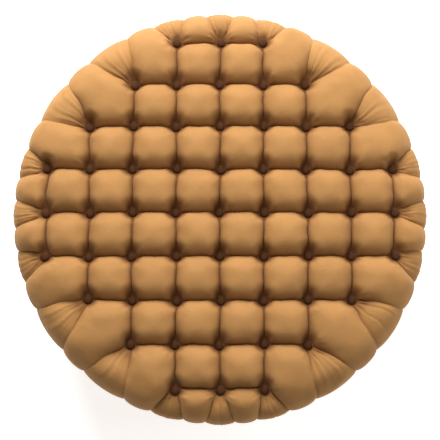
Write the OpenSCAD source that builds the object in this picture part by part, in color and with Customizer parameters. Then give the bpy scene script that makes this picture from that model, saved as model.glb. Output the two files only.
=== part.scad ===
// Round button-tufted ottoman with storage: a hinged, cushioned lid on a padded drum.
// Millimetres. +Z up, +Y towards the hinges, origin on the floor under the middle.

/* [Overall] */
// Diameter over the puffs at their widest
outer_d = 1000; // [800:10:1200]
// Height from the floor to the top of the crown
height = 430; // [360:5:560]
// Height of the lid above the joint line
lid_h = 163; // [130:1:200]
// How far the lid's puffs stand out past the frame
lid_roll = 50; // [40:1:60]
// How far the base's puffs stand out past the frame
base_roll = 42; // [34:1:50]

/* [Tufting] */
// Distance between neighbouring buttons, both ways
tuft_pitch = 104; // [85:1:125]
// Closest that a top button's centre comes to the edge of the frame
edge_margin = 15; // [10:1:30]
// Diameter of a covered button
button_d = 22; // [16:1:26]
// Height of a covered button's dome
button_h = 6; // [4:0.5:8]
// Depth of a button's seat below the crown
tuft_depth = 44; // [30:1:50]
// Width across the mouth of a tuft
tuft_mouth_d = 60; // [50:1:70]
// Distance of the side buttons below the rim of the base
side_button_drop = 72.8; // [60:0.1:120]
// Depth of a side button's seat below the side padding
side_tuft_depth = 26; // [15:1:32]

/* [Cloth and padding] */
// Thickness of the velvet with its backing
cloth_t = 2; // [1:0.5:3]
// Thickness of the fibre wadding under the velvet
wadding_t = 10; // [6:1:14]
// Thickness of the lining cloth
lining_t = 0.8; // [0.5:0.1:1.2]
// Thickness of the velvet where it is stapled down flat
hem_t = 1; // [0.8:0.1:1.5]
// Width of the stapled hem
hem_w = 16; // [12:1:24]

/* [Frame] */
// Thickness of the lid board
board_t = 15; // [12:1:20]
// Thickness of the bottom panel
bottom_t = 15; // [12:1:20]
// Thickness of the top ring
ring_t = 18; // [15:1:24]
// Width of the top ring
ring_w = 54; // [45:1:70]
// Thickness of the outer wall
skin_t = 3; // [2:0.5:5]
// Thickness of the inner wall
liner_t = 3; // [2:0.5:5]
// Number of upright posts
post_count = 6; // [4:1:8]
// Width of a post
post_w = 40; // [30:1:50]
// Width of the hinge block at the back
hinge_block_w = 250; // [240:5:300]
// Height of the hinge block
hinge_block_h = 129; // [120:1:150]

/* [Feet] */
// Number of feet
foot_count = 6; // [4:1:8]
// Height of a foot
foot_h = 25; // [15:1:60]
// Diameter of a foot
foot_d = 50; // [40:1:70]
// Distance of a foot's centre inside the frame
foot_inset = 75; // [60:1:120]

/* [Hinges and stays] */
// Distance of each hinge's middle from the centre line
hinge_x = 80; // [60:1:85]
// Length of a hinge along its pin
hinge_w = 60; // [50:1:70]
// Width of a leaf from its front edge to the pin
leaf_w = 34; // [28:1:40]
// Thickness of a leaf
leaf_t = 1.6; // [1.2:0.1:2]
// Gap between the closed leaves
leaf_gap = 1; // [0.6:0.1:1.5]
// Radius of the hinge pin
pin_r = 2; // [1.5:0.1:2.5]
// Distance of the pin behind the frame
pin_out = 6; // [5:0.5:10]
// Height of a stay's wall pivot below the pin
stay_drop = 119; // [100:1:125]
// Distance of the stays' inner faces from the centre line
stay_x = 104; // [98:1:110]
// Distance of a stay's wall pivot from the wall lining
stay_reach = 15; // [12:1:20]
// Depth of a stay's lid pivot below the pin
stay_lid_drop = 18; // [16:1:22]
// Width of a stay's arms
arm_w = 16; // [12:1:20]
// Thickness of a stay's arms
arm_t = 2.5; // [2:0.5:3]
// Radius of a stay's rivets
rivet_r = 3; // [2.5:0.1:4]
// Number of rubber bumpers on the rim
bumper_count = 4; // [3:1:6]

/* [Hidden] */
$fn = 48;
eps = 0.01;
run_gap = 0.05;      // radial clearance of a pin that turns
pivot_gap = 0.3;     // side gap between a stay's parts, and round its open pivot
layer_gap = 0.6;     // gap between one soft layer and the next
post_gap = 0.3;      // gap between a post and the walls

// Radii of the frame, from the outside in
outer_r = outer_d / 2;
frame_r = outer_r - lid_roll;
panel_r = frame_r - skin_t;
store_r = panel_r - ring_w;
base_r = frame_r + base_roll;

// Heights, from the joint line up and down
joint_gap = 2 * leaf_t + leaf_gap;
lid_under = height - lid_h;
board_z = lid_under + hem_t;
pin_z = lid_under - joint_gap / 2;
rim_z = lid_under - joint_gap;
side_button_z = rim_z - side_button_drop;
ring_z = rim_z - hem_t - ring_t;
floor_z = foot_h + bottom_t;

// Soft layers of the lid, as insets from its outer surface
wadding_in = cloth_t + layer_gap;
foam_in = wadding_in + wadding_t + layer_gap;

// Outline of the lid's cushion
lid_bulge_h = 78;    // height of the widest line above the lid's underside
crown_drop = 6;      // fall of the crown from the middle to the shoulder
shoulder_w = 100;    // width of the rounded shoulder
shoulder_r = outer_r - shoulder_w;
widest_z = lid_under + lid_bulge_h;
under_arc_r = (lid_roll * lid_roll + lid_bulge_h * lid_bulge_h) / (2 * lid_roll);
under_arc_end = asin(lid_bulge_h / under_arc_r);

// Outline of the base's padding
base_rise = 60;      // height over which it rounds in to the bottom and to the rim
base_arc_r = (base_roll * base_roll + base_rise * base_rise) / (2 * base_roll);
base_arc_end = asin(base_rise / base_arc_r);

// Buttons
button_r = button_d / 2;
seat_r = button_r + 2;
seat_z = height - tuft_depth;
side_seat_r = base_r - side_tuft_depth;
twine_r = 0.9;
twine_hole_r = 2.5;
field_r = frame_r - edge_margin;
reach = floor(field_r / tuft_pitch);
grid = [for (i = [-reach:reach], j = [-reach:reach]) if (in_field(i, j)) [i, j]];
rim_angles = sorted([for (g = grid) if (at_rim(g)) atan2(g[1], g[0])]);
side_angles = [for (k = [0:len(rim_angles) - 1]) between(k)];

// Hinges and stays
pin_y = frame_r + pin_out;
knuckles = 5;
knuckle_gap = 0.3;
knuckle_r = pin_r + leaf_t;
leaf_front = pin_y - leaf_w;
screw_r = 2;
screw_head_r = 3.7;
leaf_screw_y = leaf_front + 7;
leaf_screw_x = [-20, 0, 20];
stay_wall_y = sqrt(pow(store_r - hem_t, 2) - pow(stay_x + 2, 2));
stay_p = [stay_wall_y - stay_reach, pin_z - stay_drop];
stay_l = norm([pin_y - stay_p[0], stay_drop]);
stay_q = [pin_y - sqrt(stay_l * stay_l - stay_lid_drop * stay_lid_drop), pin_z - stay_lid_drop];
stay_elbow = stay_p + stay_q - [pin_y, pin_z];
lug_t = 2;
lower_x = stay_x + lug_t + pivot_gap;
upper_x = lower_x + arm_t + pivot_gap;
lid_lug_x = upper_x + arm_t + pivot_gap;
rivet_head_r = 5.5;
rivet_head_t = 1.6;
bumper_r = 9;
bumper_h = joint_gap - lining_t - 0.5;

// ---- Layout of the tufting ----

// Buttons stand on a square grid, as far out as the field allows.
function in_field(i, j) = norm([i, j]) * tuft_pitch <= field_r;
// A rim button has at least one neighbour missing.
function at_rim(g) = !(in_field(g[0] + 1, g[1]) && in_field(g[0] - 1, g[1])
                       && in_field(g[0], g[1] + 1) && in_field(g[0], g[1] - 1));
function sorted(v) = len(v) < 2 ? v
    : let (m = v[floor(len(v) / 2)])
      concat(sorted([for (x = v) if (x < m) x]), [m], sorted([for (x = v) if (x > m) x]));
// Direction midway between a rim button and the next one round.
function between(k) = k + 1 < len(rim_angles) ? (rim_angles[k] + rim_angles[k + 1]) / 2
    : (rim_angles[k] + rim_angles[0] + 360) / 2;

// ---- Outlines of the soft layers, inset from the outer surface ----

function lid_outline(inset) = concat(
    [[0, height - inset]],
    [for (a = [90:-10:0])
        [shoulder_r + (shoulder_w - inset) * cos(a),
         widest_z + (height - crown_drop - widest_z - inset) * sin(a)]],
    [for (k = [1:6]) let (a = under_arc_end * k / 6)
        [outer_r - under_arc_r + (under_arc_r - inset) * cos(a),
         widest_z - (under_arc_r - inset) * sin(a)]],
    [[0, widest_z - (under_arc_r - inset) * sin(under_arc_end)]]);

function base_outline(inset) = let (hem = foot_h - hem_t, c = base_r - base_arc_r) concat(
    [[0, rim_z - inset]],
    [for (k = [6:-1:0]) let (a = base_arc_end * k / 6)
        [c + (base_arc_r - inset) * cos(a), rim_z - base_rise + (base_arc_r - inset) * sin(a)]],
    [for (k = [0:6]) let (a = base_arc_end * k / 6)
        [c + (base_arc_r - inset) * cos(a), hem + base_rise - (base_arc_r - inset) * sin(a)]],
    [[0, hem + inset]]);

// ---- Shapes that repeat ----

module each_top_button() {
    for (g = grid) translate([g[0] * tuft_pitch, g[1] * tuft_pitch, 0]) children();
}

// Puts +Z of the child along the outward direction of each side button.
module each_side_button() {
    for (a = side_angles) rotate([0, 0, a]) translate([0, 0, side_button_z]) rotate([0, 90, 0]) children();
}

module each_round(count, r, start = 0) {
    for (k = [0:count - 1]) rotate([0, 0, start + 360 * k / count]) translate([r, 0, 0]) children();
}

module at_round(k, count, r, start = 0) {
    rotate([0, 0, start + 360 * (k - 1) / count]) translate([r, 0, 0]) children();
}

module tube(outer, inner, h) {
    difference() {
        cylinder(r = outer, h = h);
        translate([0, 0, -1]) cylinder(r = inner, h = h + 2);
    }
}

// Mirrors a left-hand part to the right.
module side(name) {
    mirror([name == "left" ? 1 : 0, 0, 0]) children();
}

// The hollow of a tuft, with its seat's cloth face at z = 0 and its mouth a depth above.
module tuft(inset, depth) {
    translate([0, 0, -inset])
        cylinder(r1 = seat_r + inset, r2 = tuft_mouth_d / 2 + inset, h = depth + 2 * inset + 2);
}

// The cloth that lines a tuft up to a height above its seat, with a hole for the twine.
module tuft_cup(depth, h) {
    slope = (tuft_mouth_d / 2 - seat_r) / (depth + 2);
    difference() {
        translate([0, 0, -cloth_t / 2])
            cylinder(r1 = seat_r + cloth_t / 2, r2 = seat_r + cloth_t / 2 + slope * h, h = h);
        tuft(0, depth);
        translate([0, 0, -cloth_t]) cylinder(r = twine_r, h = cloth_t + 1);
    }
}

// The way for a side button's twine through the wall and the foam.
module side_twine_hole() {
    translate([0, 0, panel_r - 1]) cylinder(r = twine_hole_r, h = base_roll);
}

// A covered button: domed face, rounded rim and flat back, on z = 0.
module button() {
    rim = 1.5;
    rotate_extrude() polygon(concat(
        [[0, 0], [button_r - rim, 0], [button_r, rim]],
        [for (a = [10:10:90]) [button_r * cos(a), rim + (button_h - rim) * sin(a)]]));
}

// A countersunk wood screw whose head lies flush with z = 0 and whose point is at -length.
module wood_screw(length) {
    head_h = screw_head_r - screw_r;
    translate([0, 0, -head_h]) cylinder(r1 = screw_r, r2 = screw_head_r, h = head_h);
    translate([0, 0, -length + 2]) cylinder(r = screw_r, h = length - 2 - head_h + eps);
    translate([0, 0, -length]) cylinder(r1 = 0.4, r2 = screw_r, h = 2);
}

// The hole for such a screw through a plate whose face is at z = 0.
module countersink(plate_t) {
    head_h = screw_head_r - screw_r;
    translate([0, 0, -head_h]) cylinder(r1 = screw_r, r2 = screw_head_r, h = head_h);
    translate([0, 0, -plate_t - 1]) cylinder(r = screw_r, h = plate_t + 1);
}

// ---- Base: frame ----

module bottom_panel() {
    color("burlywood") difference() {
        translate([0, 0, foot_h]) cylinder(r = panel_r, h = bottom_t);
        each_round(foot_count, frame_r - foot_inset, 30)
            translate([0, 0, foot_h - 1]) cylinder(r = screw_r, h = bottom_t - 2);
    }
}

module top_ring() {
    color("burlywood") translate([0, 0, ring_z]) tube(panel_r, store_r, ring_t);
}

module wall_ring(depth_out, depth_in, z, h) {
    translate([0, 0, z]) tube(panel_r - depth_out, store_r + liner_t + depth_in, h);
}

module frame_post(k) {
    color("tan") intersection() {
        wall_ring(post_gap, post_gap, floor_z, ring_z - floor_z);
        at_round(k, post_count, (store_r + panel_r) / 2)
            translate([-ring_w, -post_w / 2, 0]) cube([2 * ring_w, post_w, height]);
    }
}

// Solid timber behind the rim that the hinges and the stays are screwed to.
module hinge_block() {
    twine_room = 7;
    color("tan") intersection() {
        wall_ring(twine_room, post_gap, ring_z - hinge_block_h, hinge_block_h);
        translate([-hinge_block_w / 2, 0, 0]) cube([hinge_block_w, outer_r, height]);
    }
}

module inner_liner() {
    color("sienna") translate([0, 0, floor_z]) tube(store_r + liner_t, store_r, ring_z - floor_z);
}

module outer_skin() {
    color("sienna") difference() {
        translate([0, 0, foot_h]) tube(frame_r, panel_r, ring_z + ring_t - foot_h);
        each_side_button() side_twine_hole();
    }
}

// ---- Base: linings and padding ----

// Lines the wall, then turns over the rim to meet the velvet.
module wall_lining() {
    color("gray") {
        translate([0, 0, floor_z + lining_t]) tube(store_r, store_r - hem_t, rim_z - floor_z - lining_t);
        translate([0, 0, rim_z - hem_t]) tube(frame_r - hem_w - 4, store_r - eps, hem_t);
    }
}

module floor_lining() {
    color("gray") translate([0, 0, floor_z]) cylinder(r = store_r - hem_t, h = lining_t);
}

module base_foam() {
    foam_inset = cloth_t + layer_gap;
    color("khaki") difference() {
        rotate_extrude() difference() {
            polygon(base_outline(foam_inset));
            square([frame_r + layer_gap, height]);
        }
        each_side_button() translate([0, 0, side_seat_r]) tuft(foam_inset, side_tuft_depth);
        each_side_button() side_twine_hole();
    }
}

module base_cover() {
    color("peru") difference() {
        rotate_extrude() difference() {
            polygon(base_outline(0));
            difference() {
                polygon(base_outline(cloth_t));
                square([frame_r, height]);
            }
            translate([0, foot_h]) square([frame_r, rim_z - hem_t - foot_h]);
            square([frame_r - hem_w, height]);
        }
        each_side_button() translate([0, 0, side_seat_r]) tuft(0, side_tuft_depth);
    }
    color("peru") each_side_button() translate([0, 0, side_seat_r])
        tuft_cup(side_tuft_depth, side_tuft_depth - cloth_t - 1);
}

module base_buttons() {
    color("saddlebrown") each_side_button() translate([0, 0, side_seat_r]) button();
}

// From the button's back through the wall, to a knot inside.
module base_button_twine() {
    knot_l = 2;
    color("white") each_side_button() {
        translate([0, 0, panel_r - knot_l]) cylinder(r = 3, h = knot_l);
        translate([0, 0, panel_r - eps]) cylinder(r = twine_r, h = side_seat_r - panel_r + eps);
    }
}

module dust_cover() {
    color("dimgray") difference() {
        translate([0, 0, foot_h - hem_t - lining_t]) cylinder(r = frame_r - 4, h = lining_t);
        each_round(foot_count, frame_r - foot_inset, 30)
            translate([0, 0, foot_h - 5]) cylinder(r = foot_d / 2 + 1, h = 10);
    }
}

module staple(crown, leg) {
    wire = 0.6;
    translate([-crown / 2, -wire, 0]) cube([crown, 2 * wire, wire]);
    for (s = [-1, 1]) translate([s * (crown - wire) / 2 - wire / 2, -wire, 0]) cube([wire, 2 * wire, leg]);
}

module cover_staples() {
    count = 40;
    color("silver") each_round(count, frame_r - hem_w / 2, 180 / count)
        translate([0, 0, foot_h - hem_t - lining_t - 0.6]) rotate([0, 0, 90]) staple(10, 6);
}

// ---- Base: feet and bumpers ----

module foot(k) {
    toe = 3;
    recess_r = 6;
    color("black") at_round(k, foot_count, frame_r - foot_inset, 30) difference() {
        union() {
            cylinder(r1 = foot_d / 2 - toe - 1.5, r2 = foot_d / 2 - toe, h = 1.5);
            translate([0, 0, 1.5]) cylinder(r1 = foot_d / 2 - toe, r2 = foot_d / 2, h = foot_h - 1.5);
        }
        translate([0, 0, -1]) cylinder(r = recess_r, h = foot_h / 2 + 1);
        cylinder(r = screw_r + run_gap, h = foot_h + 1);
    }
}

module foot_screws() {
    head_r = 5;
    head_h = 2.5;
    color("silver") each_round(foot_count, frame_r - foot_inset, 30) {
        translate([0, 0, foot_h / 2 - head_h]) cylinder(r = head_r, h = head_h);
        translate([0, 0, foot_h / 2 - eps]) cylinder(r = screw_r, h = foot_h / 2 + bottom_t - 3);
    }
}

module bumper(k) {
    color("black") at_round(k, bumper_count, store_r + ring_w / 2, 45) translate([0, 0, rim_z])
        rotate_extrude() polygon([[0, 0], [bumper_r, 0], [bumper_r, 1], [bumper_r - 1.5, bumper_h - 0.8],
                                  [bumper_r - 3, bumper_h], [0, bumper_h]]);
}

// ---- Lid ----

module lid_board() {
    color("burlywood") difference() {
        translate([0, 0, board_z]) cylinder(r = frame_r, h = board_t);
        each_top_button() translate([0, 0, board_z - 1]) cylinder(r = twine_hole_r, h = board_t + 2);
    }
}

module lid_tufts(inset) {
    each_top_button() translate([0, 0, seat_z]) tuft(inset, tuft_depth);
}

module lid_foam() {
    top = board_z + board_t;
    color("khaki") difference() {
        rotate_extrude() difference() {
            polygon(lid_outline(foam_in));
            square([outer_r, top]);
        }
        lid_tufts(foam_in);
        each_top_button() cylinder(r = 2 * twine_hole_r, h = height);
    }
}

module lid_wadding() {
    color("white") difference() {
        rotate_extrude() difference() {
            polygon(lid_outline(wadding_in));
            polygon(lid_outline(wadding_in + wadding_t));
            square([frame_r + layer_gap, board_z + board_t]);
        }
        each_top_button() translate([0, 0, seat_z]) cylinder(r = tuft_mouth_d / 2 + wadding_in, h = height);
    }
}

module lid_cover() {
    color("peru") difference() {
        rotate_extrude() difference() {
            polygon(lid_outline(0));
            difference() {
                polygon(lid_outline(cloth_t));
                square([frame_r, board_z + board_t]);
            }
            translate([0, board_z]) square([frame_r, board_t]);
            square([frame_r - hem_w, board_z + board_t]);
        }
        lid_tufts(0);
    }
    color("peru") intersection() {
        rotate_extrude() polygon(lid_outline(cloth_t / 2));
        each_top_button() translate([0, 0, seat_z]) tuft_cup(tuft_depth, tuft_depth);
    }
}

module lid_buttons() {
    color("saddlebrown") each_top_button() translate([0, 0, seat_z]) button();
}

module lid_button_twine() {
    color("white") each_top_button() translate([0, 0, board_z]) cylinder(r = twine_r, h = seat_z - board_z);
}

module lid_twine_staples() {
    color("silver") each_top_button() translate([0, 0, board_z - 0.6]) staple(10, 6);
}

// Cloth under the board, cut back round the hinges.
module lid_lining() {
    notch = hinge_x + hinge_w / 2 + 5;
    color("gray") difference() {
        translate([0, 0, lid_under - lining_t - 0.2]) cylinder(r = frame_r - 10, h = lining_t);
        translate([-notch, leaf_front - 1, 0]) cube([2 * notch, outer_r, height]);
    }
}

// ---- Hinges ----

// Knuckles 0, 2 and 4 belong to the base's leaf, and 1 and 3 to the lid's.
module leaf_barrel(odd) {
    pitch = hinge_w / knuckles;
    for (k = [odd:2:knuckles - 1]) translate([-hinge_w / 2 + k * pitch + knuckle_gap / 2, 0, 0])
        rotate([0, 90, 0]) cylinder(r = knuckle_r, h = pitch - knuckle_gap);
}

// Clears the other leaf's knuckles.
module leaf_notches(odd) {
    pitch = hinge_w / knuckles;
    for (k = [1 - odd:2:knuckles - 1]) translate([-hinge_w / 2 + k * pitch - knuckle_gap / 2 - eps,
            -knuckle_r - 0.5, -10])
        cube([pitch + knuckle_gap + 2 * eps, 20, 20]);
}

module leaf(odd) {
    up = odd == 1;
    face = up ? leaf_gap / 2 : -leaf_gap / 2;
    color("silver") translate([hinge_x, pin_y, pin_z]) difference() {
        union() {
            difference() {
                translate([-hinge_w / 2, -leaf_w, up ? face : face - leaf_t])
                    cube([hinge_w, leaf_w, leaf_t]);
                leaf_notches(odd);
            }
            leaf_barrel(odd);
        }
        translate([-hinge_w, 0, 0]) rotate([0, 90, 0]) cylinder(r = pin_r + run_gap, h = 2 * hinge_w);
        for (x = leaf_screw_x) translate([x, leaf_screw_y - pin_y, face])
            rotate([up ? 180 : 0, 0, 0]) countersink(leaf_t);
    }
}

module hinge_pin() {
    head_t = 1.5;
    color("gray") translate([hinge_x, pin_y, pin_z]) rotate([0, 90, 0]) {
        cylinder(r = pin_r, h = hinge_w, center = true);
        for (s = [-1, 1]) translate([0, 0, s * (hinge_w + head_t) / 2])
            cylinder(r = pin_r + 1, h = head_t + eps, center = true);
    }
}

module hinge_screws(up) {
    for (s = ["left", "right"]) side(s) color("silver")
        for (x = leaf_screw_x) translate([hinge_x + x, leaf_screw_y, pin_z + (up ? 1 : -1) * leaf_gap / 2])
            rotate([up ? 180 : 0, 0, 0]) wood_screw(14);
}

// ---- Stays: two equal arms whose pivots are as far apart as each outer pivot is from the pin ----

// Puts the child's +Z along +X at a point [y, z] of the stay's plane.
module on_stay(p, x) {
    translate([x, p[0], p[1]]) rotate([90, 0, 90]) children();
}

// A flat arm from a to b, points [y, z], with a hole of its own at each end.
module arm(a, b, x, hole_a, hole_b) {
    turn = atan2(b[1] - a[1], b[0] - a[0]);
    color("silver") on_stay(a, x) rotate([0, 0, turn]) difference() {
        union() {
            translate([0, -arm_w / 2, 0]) cube([stay_l, arm_w, arm_t]);
            cylinder(r = arm_w / 2, h = arm_t);
            translate([stay_l, 0, 0]) cylinder(r = arm_w / 2, h = arm_t);
        }
        translate([0, 0, -1]) cylinder(r = hole_a, h = arm_t + 2);
        translate([stay_l, 0, -1]) cylinder(r = hole_b, h = arm_t + 2);
    }
}

module stay_lower_arm() {
    arm(stay_p, stay_elbow, lower_x, rivet_r + run_gap, rivet_r);
}

module stay_upper_arm() {
    arm(stay_elbow, stay_q, upper_x, rivet_r + run_gap, rivet_r + pivot_gap);
}

// A rivet through what lies between x0 and x1, with a head on each side.
module rivet(p, x0, x1) {
    color("gray") on_stay(p, x0) {
        translate([0, 0, -rivet_head_t]) cylinder(r1 = rivet_head_r - 1, r2 = rivet_head_r, h = rivet_head_t);
        cylinder(r = rivet_r, h = x1 - x0);
        translate([0, 0, x1 - x0]) cylinder(r1 = rivet_head_r, r2 = rivet_head_r - 1, h = rivet_head_t);
    }
}

module stay_elbow_rivet() {
    rivet(stay_elbow, lower_x, upper_x + arm_t + run_gap);
}

module stay_base_rivet() {
    rivet(stay_p, stay_x, lower_x + arm_t + run_gap);
}

module stay_lid_rivet() {
    rivet(stay_q, upper_x - run_gap, lid_lug_x + lug_t);
}

plate_h = 44;
plate_w = 26;
plate_r = store_r - hem_t - 0.25;
plate_turn = asin((stay_x + plate_w / 2) / plate_r);

// Places the child on the wall plate's inner face, +Z towards the middle of the ottoman.
module on_wall_plate() {
    rotate([0, 0, 90 - plate_turn]) translate([plate_r - lug_t, 0, stay_p[1]]) rotate([0, -90, 0]) children();
}

module stay_base_bracket() {
    color("silver") difference() {
        union() {
            on_wall_plate() translate([-plate_h / 2, -plate_w / 2, -lug_t]) cube([plate_h, plate_w, lug_t]);
            translate([stay_x, stay_p[0] - arm_w / 2, stay_p[1] - arm_w / 2])
                cube([lug_t, stay_wall_y - stay_p[0] + arm_w / 2 - 0.4, arm_w]);
        }
        on_stay(stay_p, stay_x - 1) cylinder(r = rivet_r, h = lug_t + 2);
        for (s = [-1, 1]) on_wall_plate() translate([s * 15, -3, 0]) countersink(lug_t);
    }
}

module stay_lid_bracket() {
    flange_w = 26;
    flange_l = 44;
    top = lid_under - lining_t - 0.2;
    color("silver") difference() {
        union() {
            translate([lid_lug_x, stay_q[0] - flange_l / 2, top - lug_t]) cube([flange_w, flange_l, lug_t]);
            translate([lid_lug_x, stay_q[0] - arm_w / 2, stay_q[1]]) cube([lug_t, arm_w, top - stay_q[1]]);
            on_stay(stay_q, lid_lug_x) cylinder(r = arm_w / 2, h = lug_t);
        }
        on_stay(stay_q, lid_lug_x - 1) cylinder(r = rivet_r, h = lug_t + 2);
        for (s = [-1, 1]) translate([lid_lug_x + 15, stay_q[0] + s * 14, top - lug_t])
            rotate([180, 0, 0]) countersink(lug_t);
    }
}

module stay_base_screws() {
    for (s = ["left", "right"]) side(s) color("silver")
        for (k = [-1, 1]) on_wall_plate() translate([k * 15, -3, 0]) wood_screw(18);
}

module stay_lid_screws() {
    for (s = ["left", "right"]) side(s) color("silver")
        for (k = [-1, 1])
            translate([lid_lug_x + 15, stay_q[0] + k * 14, lid_under - lining_t - 0.2 - lug_t])
                rotate([180, 0, 0]) wood_screw(15);
}

// ---- Nodes ----

bottom_panel();
top_ring();
hinge_block();
inner_liner();
outer_skin();
wall_lining();
floor_lining();
base_foam();
base_cover();
base_buttons();
base_button_twine();
dust_cover();
cover_staples();
foot_screws();
for (k = [1:post_count]) frame_post(k);
for (k = [1:foot_count]) foot(k);
for (k = [1:bumper_count]) bumper(k);
lid_board();
lid_foam();
lid_wadding();
lid_cover();
lid_buttons();
lid_button_twine();
lid_twine_staples();
lid_lining();
hinge_screws(false);  // hinge_base_screws
hinge_screws(true);  // hinge_lid_screws
stay_base_screws();
stay_lid_screws();
for (s = ["left", "right"]) side(s) stay_base_rivet();  // stay_base_rivets
for (s = ["left", "right"]) side(s) stay_lid_rivet();  // stay_lid_rivets
for (s = ["left", "right"]) {
    side(s) leaf(0);
    side(s) leaf(1);
    side(s) hinge_pin();
    side(s) stay_base_bracket();
    side(s) stay_lid_bracket();
    side(s) stay_lower_arm();
    side(s) stay_upper_arm();
    side(s) stay_elbow_rivet();
}
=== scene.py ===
"""Looks of the round tufted storage ottoman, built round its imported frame."""

import math
import random

import bmesh
import bpy
import numpy as np
from mathutils import Matrix, Vector, noise


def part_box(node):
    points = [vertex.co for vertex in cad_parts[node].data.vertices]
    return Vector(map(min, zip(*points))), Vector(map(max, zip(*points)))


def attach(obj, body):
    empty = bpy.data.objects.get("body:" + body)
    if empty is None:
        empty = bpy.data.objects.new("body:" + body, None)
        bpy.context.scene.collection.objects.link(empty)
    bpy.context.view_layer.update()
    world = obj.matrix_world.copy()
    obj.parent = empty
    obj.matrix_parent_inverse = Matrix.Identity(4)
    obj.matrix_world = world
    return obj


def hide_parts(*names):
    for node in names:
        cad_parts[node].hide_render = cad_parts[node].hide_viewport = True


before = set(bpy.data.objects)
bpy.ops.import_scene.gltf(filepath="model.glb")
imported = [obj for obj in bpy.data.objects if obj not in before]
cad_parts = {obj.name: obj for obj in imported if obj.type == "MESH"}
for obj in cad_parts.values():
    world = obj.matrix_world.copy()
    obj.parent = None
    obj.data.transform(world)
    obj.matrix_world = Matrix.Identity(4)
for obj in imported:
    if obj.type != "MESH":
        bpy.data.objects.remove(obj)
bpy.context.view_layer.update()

bl_info = {
    "name": "Tufted storage ottoman",
    "version": (1, 0, 0),
    "blender": (4, 5, 0),
    "location": "View3D > Sidebar > Ottoman",
    "description": "Builds the upholstery, trim and finishes of a round storage ottoman round its frame",
    "category": "Object",
}

# ---- Sizes that the frame gives ----

LID_LOW, LID_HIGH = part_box("lid_cover")
BASE_LOW, BASE_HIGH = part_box("base_cover")
BUTTON_LOW, BUTTON_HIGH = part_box("lid_buttons")
SIDE_BUTTON_LOW, SIDE_BUTTON_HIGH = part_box("base_buttons")
FRAME_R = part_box("lid_board")[1].x
LID_R = LID_HIGH.x
BASE_R = BASE_HIGH.x
SEAT_Z = BUTTON_LOW.z
SIDE_Z = (SIDE_BUTTON_LOW.z + SIDE_BUTTON_HIGH.z) / 2
REACH = 4
BUTTON_R = (SIDE_BUTTON_HIGH.z - SIDE_BUTTON_LOW.z) / 2
PITCH = (BUTTON_HIGH.x - BUTTON_R) / REACH
EDGE_MARGIN = 0.015
FIELD_R = FRAME_R - EDGE_MARGIN
SIDE_BUTTON_PLACES = [v.co.to_2d().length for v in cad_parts["base_buttons"].data.vertices]
SIDE_SEAT_R = min(SIDE_BUTTON_PLACES)
HEM_W = 0.016
HEM_T = 0.0009
LID_H = 0.163
EDGE_RUN = 0.26
WELD = 0.0004


# ---- Layout of the tufting ----


def in_field(i, j):
    """Whether the tufting has a button at this place of its square grid."""
    return math.hypot(i, j) * PITCH <= FIELD_R


GRID = [(i, j) for j in range(-REACH, REACH + 1) for i in range(-REACH, REACH + 1) if in_field(i, j)]
SQUARES = [(i, j) for i, j in GRID if in_field(i + 1, j) and in_field(i, j + 1) and in_field(i + 1, j + 1)]


def at_rim(i, j):
    """Whether a button has a neighbour missing."""
    return not (in_field(i + 1, j) and in_field(i - 1, j) and in_field(i, j + 1) and in_field(i, j - 1))


RIM = sorted((g for g in GRID if at_rim(*g)), key=lambda g: math.atan2(g[1], g[0]) % math.tau)
RIM_ANGLE = [math.atan2(j, i) % math.tau for i, j in RIM]
RIM_COUNT = len(RIM)


def side_angle(k):
    """Direction of the side button between rim button k and the next one round."""
    after = RIM_ANGLE[(k + 1) % RIM_COUNT] + (math.tau if k + 1 >= RIM_COUNT else 0)
    return (RIM_ANGLE[k % RIM_COUNT] + after) / 2


SIDE_ANGLE = [side_angle(k) for k in range(RIM_COUNT)]


# ---- Settings ----


class OttomanSizes(bpy.types.PropertyGroup):
    """Sizes of the upholstery."""

    crease_depth: bpy.props.FloatProperty(
        name="Crease depth", description="Depth of a crease midway between two buttons",
        default=0.030, unit="LENGTH")
    pleat_depth: bpy.props.FloatProperty(
        name="Pleat depth", description="Depth of a pleat where it turns over the edge",
        default=0.0075, unit="LENGTH")
    side_depth: bpy.props.FloatProperty(
        name="Side depth", description="Depth of the pleats on the side of the base",
        default=0.011, unit="LENGTH")
    lip: bpy.props.FloatProperty(
        name="Lip", description="How far a puff leans over the crease behind it",
        default=0.0045, unit="LENGTH")
    drift: bpy.props.FloatProperty(
        name="Drift", description="How far a button strays from its place",
        default=0.0025, unit="LENGTH")


class OttomanColours(bpy.types.PropertyGroup):
    """Colours of the finishes."""

    velvet: bpy.props.FloatVectorProperty(
        name="Velvet", description="Colour of the pile", subtype="COLOR", size=3,
        default=(0.47, 0.235, 0.078))
    # Painted shade: the dark colour mixed into the velvet in the creases and round the buttons, and darkened
    # further for the buttons.
    velvet_painted_shade: bpy.props.FloatVectorProperty(
        name="Velvet, deep", description="Colour of the pile where it is pressed or shaded", subtype="COLOR",
        size=3, default=(0.13, 0.045, 0.012))


def sizes():
    """The settings for sizes."""
    return bpy.context.scene.ottoman_sizes


def colours():
    """The settings for colours."""
    return bpy.context.scene.ottoman_colours


# ---- Outlines ----


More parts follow.
